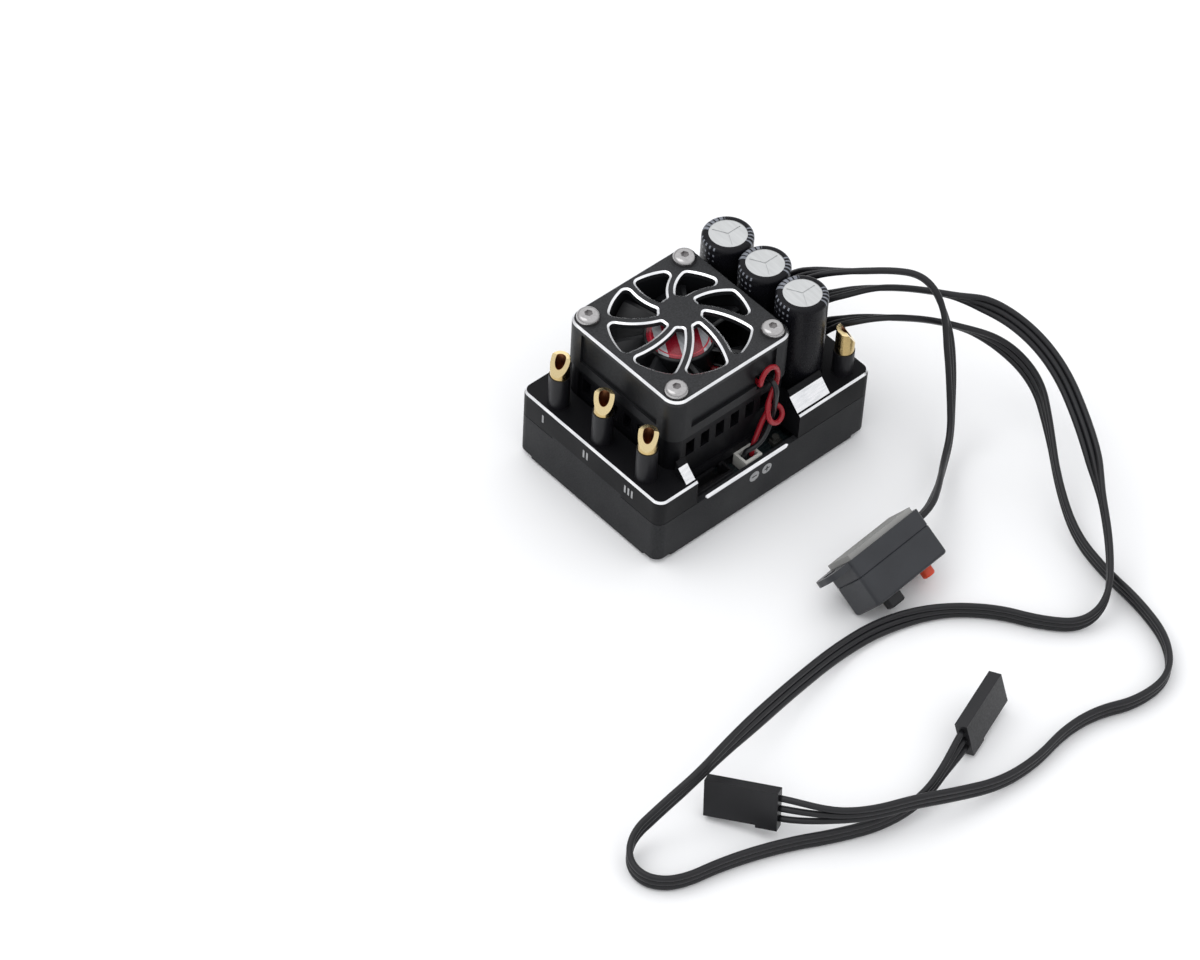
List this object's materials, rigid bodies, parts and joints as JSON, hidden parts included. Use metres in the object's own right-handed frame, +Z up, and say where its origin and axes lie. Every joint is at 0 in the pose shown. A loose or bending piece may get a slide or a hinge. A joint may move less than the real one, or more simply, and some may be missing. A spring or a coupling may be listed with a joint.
{
  "type": "electronic speed controller",
  "caption": "Sensored motor speed controller: black case with finned cooling tower and fan, capacitors, gold solder posts, power switch and receiver leads.",
  "frame": {"origin": "centre of the case's underside, on the surface it stands on", "axes": "+X along the case from the motor posts to the capacitors, -Y towards the sensor port, +Z up"},
  "size_m": [0.1353, 0.1216, 0.0373],
  "materials": {
    "case_shell": "black moulded shell with a fine matt grain",
    "anodised_black": "black anodised aluminium, edges cut bright",
    "sink_black": "black anodised, satin",
    "screw_steel": "plain steel",
    "guard_screw": "bright nickel plate",
    "gold_post": "gold plated, polished",
    "post_sleeve": "black insulating sleeve",
    "can_aluminium": "bare bright aluminium",
    "cap_sleeve": "black shrink sleeve, satin, with a pale stripe",
    "bung_rubber": "black rubber",
    "tinned_wire": "tinned",
    "board": "dark solder mask",
    "chip": "moulded epoxy",
    "thermal_pad": "soft grey silicone",
    "ferrite": "dark ferrite",
    "socket_black": "black moulded socket",
    "pin_gold": "gold flash",
    "socket_white": "white moulded nylon",
    "led_lens": "smoky lens over a dark base",
    "fan_plastic": "black moulded fan frame",
    "rotor_plastic": "black moulded blades",
    "hub_label": "red and silver printed label, plain stripes",
    "magnet": "bonded magnet",
    "shaft_steel": "ground steel",
    "bearing_bronze": "sintered bronze",
    "core_steel": "laminated steel",
    "copper": "enamelled copper wire",
    "wire_red": "red silicone insulation",
    "wire_black": "black silicone insulation",
    "lead_black": "black three-wire ribbon",
    "plug_black": "black moulded plug",
    "switch_black": "black moulded switch case, fine grain",
    "knob_black": "black ribbed knob",
    "button_orange": "orange button",
    "foam_tape": "pale grey foam tape"
  },
  "bodies": {
    "esc": {"lower_case": "case_shell", "upper_case": "anodised_black", "case_screws": "screw_steel", "motor_post_a": "gold_post", "motor_post_b": "gold_post", "motor_post_c": "gold_post", "power_post_negative": "gold_post", "power_post_positive": "gold_post", "post_sleeves": "post_sleeve", "capacitor_cans": "can_aluminium", "capacitor_sleeves": "cap_sleeve", "capacitor_bungs": "bung_rubber", "capacitor_leads": "tinned_wire", "power_board": "board", "mosfets": "chip", "thermal_pad": "thermal_pad", "control_board": "board", "microcontroller": "chip", "board_chips": "chip", "board_headers": "socket_black", "bec_inductor": "ferrite", "sensor_socket": "socket_black", "sensor_pins": "pin_gold", "fan_header": "socket_white", "fan_plug": "socket_black", "led": "led_lens", "heat_sink": "sink_black", "fan_frame": "fan_plastic", "fan_guard": "anodised_black", "fan_guard_screws": "guard_screw", "fan_bearing": "bearing_bronze", "fan_stator": "core_steel", "fan_coils": "copper", "fan_board": "board", "fan_wire_red": "wire_red", "fan_wire_black": "wire_black", "lead_tails": "lead_black", "switch_lead": "lead_black", "receiver_lead_1": "lead_black", "receiver_lead_2": "lead_black", "switch_base": "switch_black", "switch_cover": "switch_black", "slide_switch_body": "chip", "tact_switch": "chip", "switch_board": "board", "switch_tape": "foam_tape", "receiver_plug_1": "plug_black", "receiver_plug_2": "plug_black", "plug_contacts_1": "pin_gold", "plug_contacts_2": "pin_gold"},
    "fan_rotor": {"fan_impeller": "rotor_plastic", "hub_label": "hub_label", "magnet_ring": "magnet", "fan_shaft": "shaft_steel"},
    "switch_slider": {"switch_knob": "knob_black"},
    "switch_button": {"setup_button": "button_orange"}
  },
  "joints": [
    {"name": "fan_spin", "type": "hinge", "parent": "esc", "child": "fan_rotor", "pos_m": [-0.00555, 0, 0.029], "axis": [0, 0, 1], "continuous": true},
    {"name": "power_slide", "type": "slide", "parent": "esc", "child": "switch_slider", "axis": [0.9971, 0.0767, 0], "range_m": [0, 0.0022]},
    {"name": "setup_press", "type": "slide", "parent": "esc", "child": "switch_button", "axis": [-0.0637, 0.8276, 0.5577], "range_m": [0, 0.0004], "stiffness_N_per_m": 400, "springref_m": -0.0005}
  ]
}
